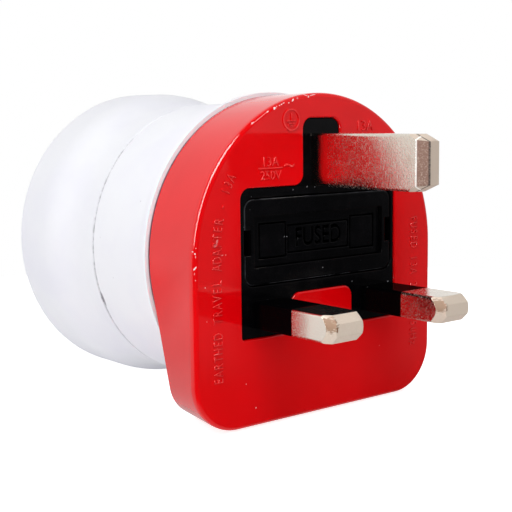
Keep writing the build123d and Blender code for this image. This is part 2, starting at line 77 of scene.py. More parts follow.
class Sock:
    def __init__(self, tree, socket=None):
        self.tree = tree
        self.socket = socket

    # any node: its type, its settings, its sockets by name or number, and the output wanted
    def make(self, kind, settings=None, sockets=None, out=0):
        node = self.tree.nodes.new(kind)
        for key, value in (settings or {}).items():
            setattr(node, key, value)
        for key, value in (sockets or {}).items():
            self.feed(node.inputs[key], value)
        return Sock(self.tree, node.outputs[out] if node.outputs else None)

    def feed(self, target, value):
        if isinstance(value, Sock):
            self.tree.links.new(value.socket, target)
        else:
            target.default_value = value

    def other(self, out):
        return Sock(self.tree, self.socket.node.outputs[out])

    def maths(self, operation, *operands):
        return self.make("ShaderNodeMath", {"operation": operation}, dict(enumerate(operands)))

    def __add__(self, b):
        return self.maths("ADD", self, b)

    def __radd__(self, b):
        return self.maths("ADD", b, self)

    def __sub__(self, b):
        return self.maths("SUBTRACT", self, b)

    def __rsub__(self, b):
        return self.maths("SUBTRACT", b, self)

    def __mul__(self, b):
        return self.maths("MULTIPLY", self, b)

    def __rmul__(self, b):
        return self.maths("MULTIPLY", b, self)

    def __lt__(self, b):
        return self.maths("LESS_THAN", self, b)

    def __gt__(self, b):
        return self.maths("GREATER_THAN", self, b)

    def __or__(self, b):
        return self.maths("MAXIMUM", self, b)

    def __abs__(self):
        return self.maths("ABSOLUTE", self)

    def fade(self, near, far, start, end):  # start up to near, end from far on, smooth between
        sockets = {"Value": self, "From Min": near, "From Max": far, "To Min": start, "To Max": end}
        return self.make("ShaderNodeMapRange", {"interpolation_type": "SMOOTHSTEP"}, sockets)

    def fall(self, near, far, at=0.0):  # 1 up to near, 0 from far on, both counted from at
        return self.fade(at + near, at + far, 1.0, 0.0)

    def rise(self, near, far, at=0.0):  # 0 up to near, 1 from far on, the same way
        return self.fade(at + near, at + far, 0.0, 1.0)

    def noise(self, scale, detail=2.0, rough=0.5):
        sockets = {"Vector": self, "Scale": scale, "Detail": detail, "Roughness": rough}
        return self.make("ShaderNodeTexNoise", None, sockets, "Fac")

    def around(self, width):  # a noise moved to lie about 0, and widened
        return (self - 0.5) * width

    def blend(self, a, b):  # a colour where this is 0, b where it is 1
        return self.make("ShaderNodeMix", {"data_type": "RGBA"}, {0: self, 6: a, 7: b}, 2)

    def bump(self, strength, distance, edge=0.0):  # edge: radius over which sharp edges look rounded
        sockets = {"Height": self, "Strength": strength, "Distance": distance}
        if edge:
            sockets["Normal"] = self.make("ShaderNodeBevel", {"samples": edgeSamples}, {"Radius": edge})
        return self.make("ShaderNodeBump", None, sockets, "Normal")

    # marks on a place: each is a centre, half sizes, a turn about y in degrees, and how strong it is
    def strokes(self, marks, ragged):
        total = None
        for centre, half, turn, strong in marks:
            tilt = (0, math.radians(-turn), 0)
            sockets = {"Vector": self, "Location": centre, "Rotation": tilt, "Scale": half}
            near = self.make("ShaderNodeMapping", {"vector_type": "TEXTURE"}, sockets)
            far = near.make("ShaderNodeVectorMath", {"operation": "LENGTH"}, {0: near}, "Value")
            spot = (far + ragged).fall(*strokeEdge) * strong
            total = spot if total is None else total | spot
        return total


# one material: its shader, its place in millimetres, and x, y, z of that

class Finish:
    def __init__(self, name, settings):
        self.material = bpy.data.materials.new(name)
        self.material.use_nodes = True
        tree = self.material.node_tree
        self.shader = tree.nodes["Principled BSDF"]
        self.start = Sock(tree)
        place = self.start.make("ShaderNodeTexCoord", None, None, "Object")
        self.place = place.make("ShaderNodeVectorMath", {"operation": "SCALE"}, {0: place, "Scale": 1 / mm})
        self.x = self.place.make("ShaderNodeSeparateXYZ", None, {0: self.place}, "X")
        self.y = self.x.other("Y")
        self.z = self.x.other("Z")
        self.wear(settings)

    def wear(self, sockets):
        for key, value in sockets.items():
            self.start.feed(self.shader.inputs[key], value)

    def ahead(self):  # which way a face looks along y: -1 is out of the plug's face, 1 out of the socket
        faces = self.start.make("ShaderNodeNewGeometry", None, None, "True Normal")
        return self.start.make("ShaderNodeSeparateXYZ", None, {0: faces}, "Y")

    def cover(self, matt, share):  # a matt colour over the shader, where share is 1
        below = Sock(self.start.tree, self.shader.outputs[0])
        over = below.make("ShaderNodeBsdfDiffuse", None, {"Color": matt})
        both = below.make("ShaderNodeMixShader", None, {0: share, 1: below, 2: over})
        self.start.feed(self.start.tree.nodes["Material Output"].inputs["Surface"], both)


def colour(r, g, b):
    return (r, g, b, 1.0)


def faceStrokes(marks, reach):
    # marks on the plug face: x, z, half length, half width, turn, strength; reach is their half depth
    return [((x, 0, z), (long, reach, wide), turn, strong) for x, z, long, wide, turn, strong in marks]


# In the looks below, places and ranges of depth are in millimetres. A noise is its scale per
# millimetre, detail and roughness. A bump is its strength, depth and edge radius, these two in metres.

# red plastic of the base

redLook = {
    "ior": 1.5,
    "colour": colour(0.735, 0.0008, 0.003),
    "deep": colour(0.69, 0.0006, 0.002),
    "rubbed": colour(0.80, 0.035, 0.035),
    "chipColour": colour(0.9, 0.8, 0.8),
    "cloud": (0.09, 2.0),
    "deepRange": (0.35, 0.7),
    "smear": (0.55, 4.0, 0.6),
    "smearRange": (0.5, 0.8),
    "rubbedRange": (0.3, 0.6),
    "peel": (1.4, 1.0),
    "ragged": (3.4, 3.0, 0.65),
    "raggedWidth": 1.1,
    "proud": (-0.1, -0.04),  # only letters and signs stand in front of the face
    "rough": 0.06,
    "smearRough": 0.04,
    "markRough": 0.4,
    "proudRough": 0.12,
    "peelHeight": 0.6,
    "markDepth": 1.5,
    "bump": (0.05, 0.00012),
    "markReach": 0.9,
    # chips along the front edge: x, z, half length, half width, turn, strength
    "chips": [
        (-12.32, 20.75, 2.1, 0.06, 31, 0.3), (-13.48, 20.12, 0.34, 0.08, 33, 0.7),
        (-10.69, 21.7, 0.32, 0.09, 31, 0.8), (-9.43, 22.15, 0.27, 0.15, 60, 0.95),
        (-9.2, 22.25, 0.15, 0.1, 10, 0.8), (-8.95, 22.45, 0.1, 0.08, 37, 0.6),
        (-8.41, 22.6, 0.12, 0.1, 18, 0.7), (-8.04, 22.75, 0.16, 0.1, 27, 0.8),
        (-7.62, 22.94, 0.22, 0.08, 20, 0.7), (-6.67, 22.97, 0.12, 0.11, 43, 0.8),
        (-5.82, 23.37, 0.34, 0.11, 44, 0.9), (-4.91, 23.64, 0.2, 0.14, 20, 0.3),
        (-3.18, 24.11, 0.5, 0.08, -20, 0.6), (-2.75, 23.89, 0.2, 0.15, 60, 0.8),
        (-1.82, 24.14, 0.8, 0.08, 10, 0.6), (-24.02, 2.83, 0.09, 0.08, 0, 0.6),
        (-24.15, 2.03, 0.16, 0.1, 85, 0.8), (-24.34, 2.35, 0.11, 0.08, 88, 0.6),
        (-24.11, 1.63, 0.22, 0.06, 91, 0.35), (-24.21, 0.0, 0.36, 0.1, 57, 1),
        (-24.29, -0.77, 0.2, 0.06, 83, 0.35), (-24.18, -1.7, 0.1, 0.07, 88, 0.5),
    ],
    # specks and scuffs on the face, the same way
    "specks": [
        (-22.6, -2.9, 0.09, 0.09, 0, 0.6), (-15.4, -18.0, 0.09, 0.09, 0, 0.6),
        (-13.6, -21.9, 0.15, 0.12, 40, 0.7), (-20.75, 2.95, 0.35, 0.18, 40, 0.2),
        (-20.4, 3.45, 0.4, 0.2, 60, 0.22), (-19.48, 1.45, 0.25, 0.08, 8, 0.25),
        (-18.85, 1.44, 0.09, 0.09, 0, 0.35), (-22.4, -7.8, 0.07, 0.07, 0, 0.35),
        (12.5, -16.2, 0.07, 0.07, 0, 0.4),
    ],
}


def redFinish(look):
    made = Finish("redPlastic", {"IOR": look["ior"]})
    place = made.place
    ragged = place.noise(*look["ragged"]).around(look["raggedWidth"])
    marks = place.strokes(faceStrokes(look["chips"] + look["specks"], look["markReach"]), ragged)
    smear = place.noise(*look["smear"])
    body = place.noise(*look["cloud"]).rise(*look["deepRange"]).blend(look["colour"], look["deep"])
    proud = made.y.fall(*look["proud"])
    body = (proud * smear.rise(*look["rubbedRange"])).blend(body, look["rubbed"])
    rough = look["rough"] + smear.rise(*look["smearRange"]) * look["smearRough"]
    rough = rough + marks * look["markRough"] + proud * look["proudRough"]
    dent = place.noise(*look["peel"]) * look["peelHeight"] - marks * look["markDepth"]
    made.wear({"Base Color": marks.blend(body, look["chipColour"]), "Roughness": rough,
               "Normal": dent.bump(*look["bump"])})
    return made.material


# white plastic of the waist and the ring

whiteLook = {
    "ior": 1.49,
    "gloss": 0.08,
    "colour": colour(0.83, 0.835, 0.87),
    "shade": colour(0.795, 0.795, 0.855),
    # painted light: the lip's front is a brighter, cooler white and its rim a cool tint, standing in for
    # light there and against the red base's bounce
    "lipFrontLitColour": colour(0.87, 0.96, 1.0),
    "lipRimLitColour": colour(0.80, 0.89, 0.92),
    "dirt": colour(0.30, 0.29, 0.32),
    "gapShadeColour": colour(0.24, 0.15, 0.21),
    "cloud": (0.07, 3.0),
    "shadeRange": (0.4, 0.7),
    "grain": (6.0, 2.0),
    "streak": (0.8, 4.0, 0.7),
    "streakRange": (0.35, 0.65),
    "rough": 0.42,
    "streakRough": 0.08,
    "bump": (0.04, 0.00005),
    "seam": 29.4,
    "seamFade": (0.08, 0.36),
    "seamDirt": 0.3,
    "seamStreaks": 0.6,
    "seamEnd": 19.0,  # height at which the dirt in the seam has faded out
    "seamEndFade": (-3.0, 0.0),
    "lip": 12.0,
    "lipFade": (0.1, 0.3),
    "lipAhead": (0.3, 0.5),  # leaves out what faces back
    "rimAhead": (-0.5, -0.05),
    "gapFade": (0.0, 0.1),
    "gapShadeRadius": 24.16,  # the painted shade in the gap in front of the lip ends there
    "gapShadeRadiusFade": (-0.08, 0.08),
    "speckRagged": 0.6,
    # specks, and a wide place in the seam: a centre, half sizes, a turn and how strong it is
    "specks": [
        ((-21.6, 17.5, 8.4), (0.12, 0.12, 0.12), 0, 0.5), ((-22.0, 22.0, 7.0), (0.08, 0.08, 0.08), 0, 0.5),
        ((-23.0, 27.2, 2.2), (0.1, 0.1, 0.1), 0, 0.5), ((-22.8, 24.0, -4.0), (0.09, 0.09, 0.09), 0, 0.5),
        ((-21.6, 29.2, -8.2), (1.6, 0.55, 1.7), 0, 1.0),
    ],
}


def whiteFinish(look):
    made = Finish("whitePlastic", {"IOR": look["ior"], "Specular IOR Level": look["gloss"]})
    place, x, y, z = made.place, made.x, made.y, made.z
    radius = made.start.maths("SQRT", x * x + z * z)
    grain = place.noise(*look["grain"])
    streak = place.noise(*look["streak"])
    seam = look["seamDirt"] + streak.rise(*look["streakRange"]) * look["seamStreaks"]
    seam = abs(y - look["seam"]).fall(*look["seamFade"]) * seam
    seam = seam * z.fall(*look["seamEndFade"], look["seamEnd"])
    dirt = seam | place.strokes(look["specks"], grain.around(look["speckRagged"]))
    # painted shade in the narrow gap between the red base and the lip
    gap = y.fall(*look["gapFade"], look["lip"]) * radius.fall(*look["gapShadeRadiusFade"], look["gapShadeRadius"])
    ahead = made.ahead()
    # painted light on the lip: a brighter, cooler white where it faces ahead, a cool tint on its rim
    lip = y.fall(*look["lipFade"], look["lip"]) * ahead.fall(*look["lipAhead"])
    litLipColour = ahead.fall(*look["rimAhead"]).blend(look["lipRimLitColour"], look["lipFrontLitColour"])
    body = place.noise(*look["cloud"]).rise(*look["shadeRange"]).blend(look["colour"], look["shade"])
    body = gap.blend(lip.blend(body, litLipColour), look["gapShadeColour"])
    made.wear({"Base Color": dirt.blend(body, look["dirt"]),
               "Roughness": look["rough"] + streak * look["streakRough"],
               "Normal": grain.bump(*look["bump"])})
    return made.material


# black plastic of the pin block, fuse carrier and sleeves

blackLook = {
    "ior": 1.5,
    "gloss": 0.13,
    "colour": colour(0.0013, 0.0013, 0.0018),
    "worn": colour(0.003, 0.0028, 0.0034),
    "dust": colour(0.3, 0.3, 0.32),
    "glint": colour(0.038, 0.038, 0.043),
    # matt black of the sleeves, also used as painted shade on what lies deep, such as the fuse panel's
    # grooves
    "mattBlackAndShade": colour(0.0006, 0.0006, 0.0008),
    "mattBlackShare": 0.85,
    "sleeves": (-0.5, -0.2),  # in front of the block there are only the sleeves
    "deep": (1.0, 1.1),
    "smear": (0.35, 4.0, 0.6),
    "wornRange": (0.45, 0.75),
    "glintRange": (0.3, 0.6),
    "grain": (5.0, 2.0),
    "rough": 0.11,
    "smearRough": 0.05,
    "dustRough": 0.4,
    "dustHeight": 2.0,
    "bump": (0.06, 0.00006, 0.00018),
    # rounded edges of the front: the ways they face, and their depth
    "roundStart": (-0.97, -0.85),
    "roundEnd": (-0.4, -0.2),
    "roundDepth": (0.6, 0.7),
    # fine dust: one grain in some of the cells
    "cellScale": 0.8,
    "grainSize": (0.03, 0.07),
    "emptyCells": 0.75,
    "dustDepth": (0.6, 0.8),
    "dustShare": 0.35,
    "fleckRagged": 1.2,
    "fleckReach": 1.4,
    # flecks that lie on the block: x, z, half length, half width, turn, strength
    "flecks": [
        (-5.7, 10.1, 0.12, 0.08, 20, 0.5), (-2.9, 10.4, 0.16, 0.08, 60, 0.5),
        (-1.3, 10.3, 0.12, 0.08, 10, 0.5), (6.6, -5.0, 0.14, 0.09, 70, 0.5),
        (14.75, -5.88, 0.17, 0.11, 50, 0.8), (0.3, -2.2, 0.13, 0.11, 0, 0.5),
        (-6.9, 3.1, 0.3, 0.09, 35, 0.9), (-6.4, 3.05, 0.2, 0.09, -40, 0.8),
    ],
    # on the neutral sleeve: a centre, half sizes, a turn and how strong it is
    "smudges": [((7.95, -1.65, -5.75), (0.26, 0.3, 0.22), 0, 0.5)],
}


def blackFinish(look):
    made = Finish("blackPlastic", {"IOR": look["ior"], "Specular IOR Level": look["gloss"]})
    place, y, ahead = made.place, made.y, made.ahead()
    sockets = {"Vector": place, "Scale": look["cellScale"]}
    cells = place.make("ShaderNodeTexVoronoi", None, sockets, "Distance")
    pick = place.make("ShaderNodeSeparateColor", None, {0: cells.other("Color")}, "Red")
    fine = cells.fall(*look["grainSize"]) * (pick > look["emptyCells"])
    grain = place.noise(*look["grain"])
    marks = faceStrokes(look["flecks"], look["fleckReach"]) + look["smudges"]
    flecks = place.strokes(marks, grain.around(look["fleckRagged"]))
    dust = fine * y.fall(*look["dustDepth"]) * look["dustShare"] | flecks
    smear = place.noise(*look["smear"])
    body = smear.rise(*look["wornRange"]).blend(look["colour"], look["worn"])
    rounds = ahead.rise(*look["roundStart"]) * ahead.fall(*look["roundEnd"]) * y.fall(*look["roundDepth"])
    body = (rounds * smear.rise(*look["glintRange"])).blend(body, look["glint"])
    made.wear({"Base Color": dust.blend(body, look["dust"]),
               "Roughness": look["rough"] + smear * look["smearRough"] + dust * look["dustRough"],
               "Normal": (grain + dust * look["dustHeight"]).bump(*look["bump"])})
    # matt black on the sleeves, and painted shade on all that lies deeper than the front, such as the fuse
    # panel's grooves
    mattAndShaded = y.fall(*look["sleeves"]) | y.rise(*look["deep"])
    made.cover(look["mattBlackAndShade"], mattAndShaded * look["mattBlackShare"] * (1.0 - dust))
    return made.material


# nickel plate on blasted brass: pins, fuse caps, earth strap

platedLook = {
    "ior": 1.5,
    "colour": colour(0.69, 0.63, 0.55),
    "warm": colour(0.63, 0.565, 0.48),
    "rubbed": colour(0.82, 0.745, 0.66),
    "tip": colour(0.68, 0.575, 0.475),
    # painted light on the earth pin's tip: a highlight on the shoulder, a dark reflection on the bevel and a
    # dark line along its edge
    "shoulderHighlight": colour(0.95, 0.92, 0.88),
    "bevel": colour(0.21, 0.115, 0.085),
    "line": colour(0.02, 0.012, 0.01),
    "tarnish": colour(0.21, 0.09, 0.03),
    "cloud": (0.4, 3.0),
    "warmRange": (0.45, 0.75),
    "grain": (4.2, 2.0, 0.6),
    "bump": (0.3, 0.00007, 0.00018),
    # the blasted sides, smooth near the root
    "smooth": 0.16,
    "pitted": 0.4,
    "pitRange": (0.48, 0.7),
    "rootPits": 0.1,
    "rootEnd": (-3.8, -2.6),
    "sparks": (6.5, 1.0),
    "sparkRange": (0.62, 0.72),
    "sparkDepth": (-7.0, -2.6),
    "sparkDull": 0.6,
    # the live pin is rubbed on its outer half, and calmer there and on its top
    "liveSide": -5.0,
    "rubbedDepth": (-13.2, -10.8),
    "topFaces": (0.6, 0.9),
    "calmPits": 0.75,
    "calmBump": 0.6,
    # bevels, corners and ends of the pins
    "tips": -14.0,
    "tipAhead": (-0.2, -0.15),
    "tipGrain": (0.5, 0.75),
    "tipWorn": 0.3,
    "tipRough": 0.6,
    "tipMetal": 0.12,
    # the earth pin's tip: a painted dark reflection on the bevel with a painted dark line along its edge, and
    # a painted highlight on the shoulder
    "earthTone": 0.2,
    "bevelEdge": -0.93,
    "bevelFade": (-0.1, 0.05),
    "bevelUpright": (0.1, 0.2),
    "bevelGrain": (0.45, 0.75),
    "bevelWorn": 0.45,
    "lineFade": (0.06, 0.15),
    "lineGrain": (0.35, 0.6),
    "lineWorn": 0.4,
    "shoulderDepth": -20.85,
    "shoulderFade": (0.04, 0.16),
    # tarnish on the corners of the line pins: a centre, half sizes, a turn and how strong it is
    "stains": [
        ((-13.95, -16.3, -7.1), (0.9, 2.2, 1.2), 0, 0.8), ((-13.45, -17.3, -7.7), (0.16, 0.6, 0.45), 0, 1.0),
        ((8.27, -16.3, -7.05), (0.9, 2.2, 1.1), 0, 0.75), ((8.75, -17.3, -7.5), (0.16, 0.6, 0.35), 0, 1.0),
    ],
    "stainFlat": (1.0, 1.0, 4.0),
    "stainNoise": (1.6, 4.0, 0.7),
    "stainRagged": 2.4,
}


def platedFinish(look):
    made = Finish("platedBrass", {"IOR": look["ior"]})
    place, x, y, z = made.place, made.x, made.y, made.z
    ahead = made.ahead()
    upward = ahead.other("Z")
    grain = place.noise(*look["grain"])
    live = x < look["liveSide"]
    rubbed = live * y.fall(*look["rubbedDepth"])
    tip = ahead.fall(*look["tipAhead"]) * (y < look["tips"])
    earthTip = tip * (z > 0.0)
    edge = look["bevelEdge"]
    # painted light on the earth pin's tip: dark reflection on the bevel, a dark line along its edge, a
    # highlight on the shoulder
    bevel = earthTip * x.fall(*look["bevelFade"], edge) * abs(upward).fall(*look["bevelUpright"])
    line = 1.0 - look["lineWorn"] + grain.rise(*look["lineGrain"]) * look["lineWorn"]
    line = earthTip * abs(x - edge).fall(*look["lineFade"]) * line
    shoulderHighlight = abs(y - look["shoulderDepth"]).fall(*look["shoulderFade"]) * (x < edge)
    flat = place.make("ShaderNodeVectorMath", {"operation": "MULTIPLY"}, {0: place, 1: look["stainFlat"]})
    stains = place.strokes(look["stains"], flat.noise(*look["stainNoise"]).around(look["stainRagged"]))

    body = place.noise(*look["cloud"]).rise(*look["warmRange"]).blend(look["colour"], look["warm"])
    body = rubbed.blend(body, look["rubbed"])
    body = (tip * (1.0 - grain.rise(*look["tipGrain"]) * look["tipWorn"])).blend(body, look["tip"])
    body = (earthTip * look["earthTone"]).blend(body, look["bevel"])
    # painted dark reflection on the bevel, painted dark line along its edge, painted highlight on the
    # shoulder
    body = (bevel * (1.0 - grain.rise(*look["bevelGrain"]) * look["bevelWorn"])).blend(body, look["bevel"])
    body = line.blend(body, look["line"])
    body = shoulderHighlight.blend(body, look["shoulderHighlight"])
    body = (stains * tip).blend(body, look["tarnish"])

    calm = rubbed | upward.rise(*look["topFaces"]) * live
    rooted = look["rootPits"] + y.fall(*look["rootEnd"]) * (1.0 - look["rootPits"])
    blasted = grain.rise(*look["pitRange"]) * rooted * (1.0 - calm * look["calmPits"])
    sparks = place.noise(*look["sparks"]).rise(*look["sparkRange"]) * y.fall(*look["sparkDepth"])
    sparks = sparks * (1.0 - calm)
    side = look["smooth"] + blasted * (look["pitted"] - look["smooth"])
    rough = side + tip * (look["tipRough"] - side)
    metal = (1.0 - tip * (1.0 - look["tipMetal"])) * (1.0 - sparks * look["sparkDull"])
    made.wear({"Base Color": body, "Roughness": rough, "Metallic": metal,
               "Normal": (grain * (1.0 - calm * look["calmBump"])).bump(*look["bump"])})
    return made.material


# plain finishes of the inner pieces: name, two colours, roughness, metal, grain per millimetre, bump

plainLooks = {
    "bare_brass": ("bareBrass", colour(0.78, 0.56, 0.24), colour(0.60, 0.40, 0.17), 0.28, 1.0, 2.0, 0.15),
    "spring_steel": ("springSteel", colour(0.60, 0.60, 0.62), colour(0.42, 0.41, 0.41), 0.3, 1.0, 3.0, 0.2),
    "ivory_plastic": ("ivoryPlastic", colour(0.78, 0.74, 0.63), colour(0.7, 0.66, 0.55), 0.45, 0.0, 4.0, 0.1),
    "grey_plastic": ("greyPlastic", colour(0.42, 0.43, 0.45), colour(0.36, 0.37, 0.39), 0.4, 0.0, 4.0, 0.1),
    "brown_sheet": ("brownSheet", colour(0.30, 0.18, 0.09), colour(0.22, 0.13, 0.06), 0.6, 0.0, 1.2, 0.3),
    "fuse_ceramic": ("fuseCeramic", colour(0.82, 0.80, 0.75), colour(0.76, 0.73, 0.68), 0.5, 0.0, 5.0, 0.2),
}
plainGrain = {
    "detail": 3.0,
    "stainScale": 0.2,  # scale of the stains, as a share of the grain's
    "stainRange": (0.35, 0.7),
    "roughWidth": 0.2,
    "bumpDepth": 0.00005,
}


def plainFinish(name, light, dark, rough, metal, scale, strength):
    made = Finish(name, {"Metallic": metal})
    stain = made.place.noise(scale * plainGrain["stainScale"], plainGrain["detail"])
    grain = made.place.noise(scale, plainGrain["detail"])
    made.wear({"Base Color": stain.rise(*plainGrain["stainRange"]).blend(light, dark),
               "Roughness": rough + grain.around(plainGrain["roughWidth"]),
               "Normal": grain.bump(strength, plainGrain["bumpDepth"])})
    return made.material


finishes = {
    "red_plastic": redFinish(redLook),
    "white_plastic": whiteFinish(whiteLook),
    "black_plastic": blackFinish(blackLook),
    "plated_brass": platedFinish(platedLook),
}
for slotName, plainLook in plainLooks.items():
    finishes[slotName] = plainFinish(*plainLook)
for row in frame["record"]["subparts"]:
    for materialSlot in nodes[row["node"]].material_slots:
        materialSlot.material = finishes[row["material_slot"]]
print("materials:", len(finishes))


# raised marks: letters and simple signs, drawn in the plug face's plane

faceTurn = Matrix.Rotation(math.pi / 2, 4, "X")  # drawing x, y become x, z and letters rise towards -y
weldGap = 0.0005  # points nearer than this are merged, in millimetres
letterLook = {
    "capShare": 0.7,  # height of a capital, as a share of the font's size
    "soft": 0.07,  # how far the strokes are rounded off
    "softSteps": 2,
    "curveSteps": 3,
}


def newWord(text, cap):
    curve = bpy.data.curves.new("word", "FONT")
    curve.body = text
    curve.size = cap / letterLook["capShare"] * mm
    curve.align_x = "CENTER"
    curve.align_y = "CENTER"
    holder = bpy.data.objects.new("word", curve)
    bpy.context.scene.collection.objects.link(holder)
    return holder


def addCurve(bm, holder, matrix):
    # the curve's mesh, put in its place, and the curve taken away
    depsgraph = bpy.context.evaluated_depsgraph_get()
    mesh = bpy.data.meshes.new_from_object(holder.evaluated_get(depsgraph))
    mesh.transform(matrix)
    bm.from_mesh(mesh)
    curve = holder.data
    bpy.data.objects.remove(holder)
    bpy.data.curves.remove(curve)
    bpy.data.meshes.remove(mesh)


def addWord(bm, text, cap, lift, sunk, matrix):
    holder = newWord(text, cap)
    curve, soft = holder.data, letterLook["soft"]
    curve.extrude = ((lift + sunk) / 2 - soft) * mm
    curve.offset = -soft * mm
    curve.bevel_depth = soft * mm
    curve.bevel_resolution = letterLook["softSteps"]
    curve.resolution_u = letterLook["curveSteps"]
    addCurve(bm, holder, matrix @ faceTurn @ Matrix.Translation((0, 0, (lift - sunk) / 2 * mm)))


def addPlate(bm, low, high, soft):
    centre = [(a + b) / 2 * mm for a, b in zip(low, high)]
    size = [(b - a) * mm for a, b in zip(low, high)]
    matrix = Matrix.Translation(centre) @ Matrix.Diagonal((*size, 1.0))
    made = bmesh.ops.create_cube(bm, size=1.0, matrix=matrix)
    edges = list({e for v in made["verts"] for e in v.link_edges})
    bmesh.ops.bevel(bm, geom=edges, offset=soft * mm, offset_type="OFFSET", affect="EDGES",
                    segments=2, profile=0.5, material=-1)


def addRing(bm, centre, outside, inside, low, high, sides):
    matrix = Matrix.Translation([c * mm for c in centre]) @ faceTurn
    loops = []
    for radius in (outside, inside):
        made = bmesh.ops.create_circle(bm, cap_ends=False, segments=sides, radius=radius * mm, matrix=matrix)
        loops += {e for v in made["verts"] for e in v.link_edges}
    flat = bmesh.ops.bridge_loops(bm, edges=loops)["faces"]
    bmesh.ops.translate(bm, verts=list({v for f in flat for v in f.verts}), vec=(0, low * mm, 0))
    grown = bmesh.ops.extrude_face_region(bm, geom=flat)["geom"]
    lifted = [g for g in grown if isinstance(g, bmesh.types.BMVert)]
    bmesh.ops.translate(bm, verts=lifted, vec=(0, (high - low) * mm, 0))


def keep(bm, name, body, slotName):
    bmesh.ops.remove_doubles(bm, verts=bm.verts, dist=weldGap * mm)
    bmesh.ops.recalc_face_normals(bm, faces=bm.faces)
    mesh = bpy.data.meshes.new(name)
    bm.to_mesh(mesh)
    bm.free()
    piece = bpy.data.objects.new(name, mesh)
    bpy.context.scene.collection.objects.link(piece)
    mesh.materials.append(finishes[slotName])
    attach(piece, body)
    return piece


def onFace(x, z, y=0.0, turn=0.0):
    return Matrix.Translation((x * mm, y * mm, z * mm)) @ Matrix.Rotation(math.radians(-turn), 4, "Y")


# rating, earth sign and the lines of words on the red face

faceMarks = {
    "lift": 0.17,
    "sunk": 0.1,
    # words: x, z and height of a capital
    "words": [("13A", -10.45, 14.4, 1.4), ("250V", -10.35, 12.4, 1.35), ("13A", 8.95, 19.35, 1.6),
              ("~", -6.75, 13.9, 2.6)],
    "bar": (-12.7, -8.1, 13.42, 13.62),
    "barSoft": 0.04,
    "earth": (-6.27, 20.5),
    "earthRadius": 1.62,
    "earthSides": 48,
    "earthLine": 0.2,
    "earthSoft": 0.03,
    "earthStem": (-0.1, 0.95),
    "earthBars": (0.85, 0.55, 0.25),
    "earthFirst": 0.15,
    "earthPitch": 0.38,
    # lines of letters up the sides
    "lineWords": "EARTHED TRAVEL ADAPTER - 13A",
    "otherWords": "FUSED 13A 250V~ 50Hz",
    "lineCap": 1.65,
    "linePitch": 1.1,
    "lineWidth": 0.62,
    "lineRadius": 20.4,
    "lineStart": -16.8,
    "lineBend": 2.2,
}


def addLine(bm, look, text, side):
    # letters climb the straight side, then follow the round, their heads outwards
    radius, bend, run = look["lineRadius"], look["lineBend"], look["lineStart"]
    squeeze = Matrix.Diagonal((look["lineWidth"], 1, 1, 1))
    for letter in text if side < 0 else text[::-1]:
        turn = max(0.0, run - bend) / radius
        x = side * radius * math.cos(turn)
        z = min(run, bend) + radius * math.sin(turn)
        if letter != " ":
            matrix = onFace(x, z, 0.0, side * (math.degrees(turn) - 90)) @ squeeze
            addWord(bm, letter, look["lineCap"], look["lift"], look["sunk"], matrix)
        run += look["linePitch"]


def makeRating(look):
    bm = bmesh.new()
    for text, x, z, cap in look["words"]:
        addWord(bm, text, cap, look["lift"], look["sunk"], onFace(x, z))
    x0, x1, z0, z1 = look["bar"]
    addPlate(bm, (x0, -look["lift"], z0), (x1, look["sunk"], z1), look["barSoft"])
    keep(bm, "ratingMarks", "housing", "red_plastic")


def makeEarthSign(look):
    bm = bmesh.new()
    x, z = look["earth"]
    front, back, soft = -look["lift"], look["sunk"], look["earthSoft"]
    radius, line, half = look["earthRadius"], look["earthLine"], look["earthLine"] / 2
    addRing(bm, (x, 0, z), radius, radius - line, back, front, look["earthSides"])
    foot, head = look["earthStem"]
    addPlate(bm, (x - half, front, z + foot), (x + half, back, z + head), soft)
    for step, reach in enumerate(look["earthBars"]):
        level = z - look["earthFirst"] - step * look["earthPitch"]
        addPlate(bm, (x - reach, front, level - half), (x + reach, back, level + half), soft)
    keep(bm, "earthSign", "housing", "red_plastic")


def makeEdgeWords(look):
    bm = bmesh.new()
    addLine(bm, look, look["lineWords"], -1)
    addLine(bm, look, look["otherWords"], 1)
    keep(bm, "edgeWords", "housing", "red_plastic")


makeRating(faceMarks)
makeEarthSign(faceMarks)
makeEdgeWords(faceMarks)
print("face marks made")


# fuse sign on the floor of the carrier's panel: grooves draw two caps and a tube, with a word cut into it

fuseMarks = {
    "floor": 2.05,
    "rise": 1.1,
    "sunk": 0.06,
    "line": 0.27,
    # areas: left, right, lower and upper side
    "plate": (-13.2, 13.2, -0.97, 6.43),
    "cap": (6.6, 12.0, 0.05, 5.45),
    "tube": (-6.35, 6.35, 0.5, 4.9),
    "word": "FUSED",
    "wordCap": 2.75,
    "wordWidth": 0.86,
    "wordBold": 0.075,
    "cutSlack": 1e-7,
}


def inner(area, step):
    return area[0] + step, area[1] - step, area[2] + step, area[3] - step


def holds(area, spot):
    return area[0] < spot.x / mm < area[1] and area[2] < spot.z / mm < area[3]


def addGroovedPlate(bm, look, areas):
    # a sheet cut along both sides of each groove, then the grooves taken out and the rest thickened
    x0, x1, z0, z1 = (v * mm for v in look["plate"])
    spread = Matrix.Diagonal((x1 - x0, z1 - z0, 1.0, 1.0))
    middle = Matrix.Translation(((x0 + x1) / 2, (look["floor"] - look["rise"]) * mm, (z0 + z1) / 2))
    bmesh.ops.create_grid(bm, x_segments=1, y_segments=1, size=0.5, matrix=middle @ faceTurn @ spread)
    for area in areas + [inner(area, look["line"]) for area in areas]:
        for i, cut in enumerate(area):
            normal = (1, 0, 0) if i < 2 else (0, 0, 1)
            bmesh.ops.bisect_plane(bm, geom=bm.verts[:] + bm.edges[:] + bm.faces[:], dist=look["cutSlack"],
                                   plane_co=[cut * mm * n for n in normal], plane_no=normal)
    tube = inner(look["tube"], look["line"])
    grooves = []
    for face in bm.faces:
        spot = face.calc_center_median()
        drawn = any(holds(area, spot) and not holds(inner(area, look["line"]), spot) for area in areas)
        if drawn or holds(tube, spot):
            grooves.append(face)
    bmesh.ops.delete(bm, geom=grooves, context="FACES")
    bmesh.ops.solidify(bm, geom=bm.faces[:], thickness=(look["rise"] + look["sunk"]) * mm)


